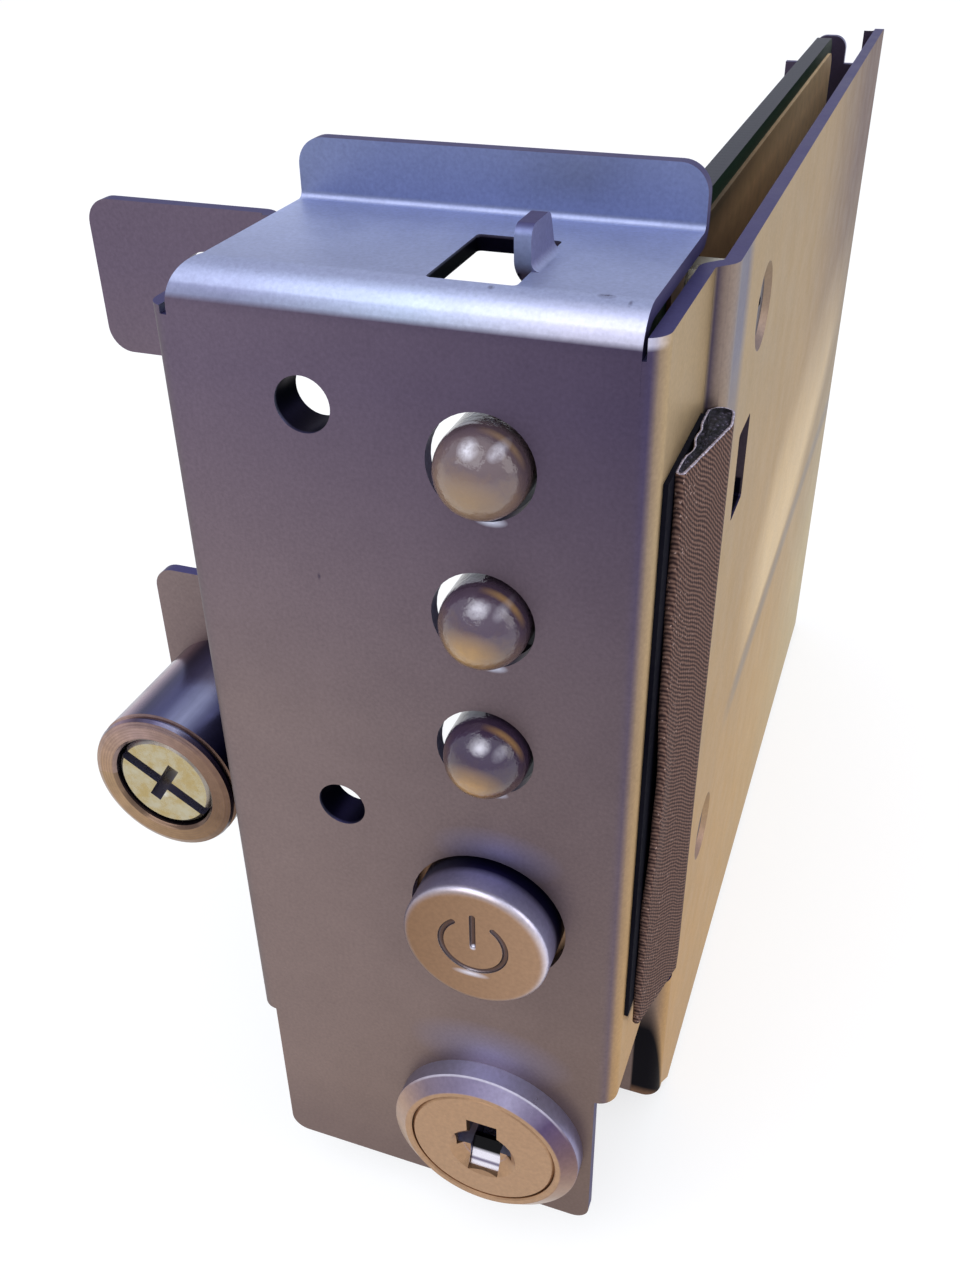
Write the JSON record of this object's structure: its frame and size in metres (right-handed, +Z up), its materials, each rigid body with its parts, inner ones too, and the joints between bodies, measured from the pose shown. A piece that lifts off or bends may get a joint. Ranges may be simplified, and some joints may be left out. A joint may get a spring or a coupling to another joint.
{
  "type": "server operator panel",
  "caption": "Folded sheet operator panel with light pipes, power button, key switch, circuit board, gasket strip and captive mounting screw.",
  "frame": {"origin": "axis of the locating hole in the upper ear, at the mounting face on the ears' rear", "axes": "+X to the panel's right, +Y to the rear along the screw's axis, +Z up along the front plate"},
  "size_m": [0.0478, 0.1127, 0.0881],
  "materials": {
    "zinc_sheet": "satin",
    "board_green": "satin",
    "film_tan": "satin",
    "brass_nickel": "satin",
    "zinc_screw": "satin",
    "black_plastic": "matt",
    "tinned_pins": "bright",
    "chip_black": "matt",
    "resistor_black": "matt",
    "can_aluminium": "satin",
    "button_satin": "satin metallic",
    "switch_plastic": "matt",
    "plunger_white": "matt",
    "spring_steel": "bright",
    "lock_nickel": "satin",
    "contact_plastic": "matt",
    "sleeve_nickel": "polished",
    "screw_yellow_zinc": "satin",
    "nylon": "matt",
    "tape_black": "matt",
    "foam_black": "matt",
    "gasket_weave": "fine weave",
    "pipe_smoke": "frosted",
    "lamp_clear": "clear"
  },
  "bodies": {
    "panel": {"bracket": "zinc_sheet", "circuit_board": "board_green", "insulator_sheet": "film_tan", "board_standoffs": "brass_nickel", "board_screws": "zinc_screw", "wall_screws": "zinc_screw", "board_header": "black_plastic", "header_pins": "tinned_pins", "driver_chip": "chip_black", "chip_legs": "tinned_pins", "chip_resistors": "resistor_black", "board_capacitor": "can_aluminium", "power_switch_body": "switch_plastic", "button_spring": "spring_steel", "key_switch_body": "lock_nickel", "key_nut": "zinc_screw", "key_lock_washer": "zinc_screw", "key_contact_block": "contact_plastic", "key_terminals": "tinned_pins", "captive_sleeve": "sleeve_nickel", "captive_spring": "spring_steel", "gasket_tape": "tape_black", "gasket_foam": "foam_black", "gasket_fabric": "gasket_weave", "light_pipe_upper": "pipe_smoke", "led_holder_upper": "black_plastic", "led_upper": "lamp_clear", "light_pipe_middle": "pipe_smoke", "led_holder_middle": "black_plastic", "led_middle": "lamp_clear", "light_pipe_lower": "pipe_smoke", "led_holder_lower": "black_plastic", "led_lower": "lamp_clear"},
    "button": {"power_button": "button_satin", "power_switch_plunger": "plunger_white"},
    "key_turn": {"key_plug": "lock_nickel", "key_shutter": "tinned_pins"},
    "captive_slide": {"captive_washer": "nylon"},
    "captive_turn": {"captive_screw": "screw_yellow_zinc"}
  },
  "joints": [
    {"name": "button_press", "type": "slide", "parent": "panel", "child": "button", "axis": [0, 1, 0], "range_m": [0, 0.002], "stiffness_N_per_m": 700, "springref_m": -0.0008, "deforming": ["button_spring"]},
    {"name": "key_turn", "type": "hinge", "parent": "panel", "child": "key_turn", "pos_m": [0.0258, -0.0163, -0.0642], "axis": [0, 1, 0], "range_deg": [0, 90]},
    {"name": "captive_push", "type": "slide", "parent": "panel", "child": "captive_slide", "axis": [0, 1, 0], "range_m": [0, 0.004], "stiffness_N_per_m": 400, "springref_m": -0.001, "deforming": ["captive_spring"]},
    {"name": "captive_spin", "type": "hinge", "parent": "captive_slide", "child": "captive_turn", "pos_m": [-0.0032, -0.0124, -0.0375], "axis": [0, 1, 0], "continuous": true}
  ]
}
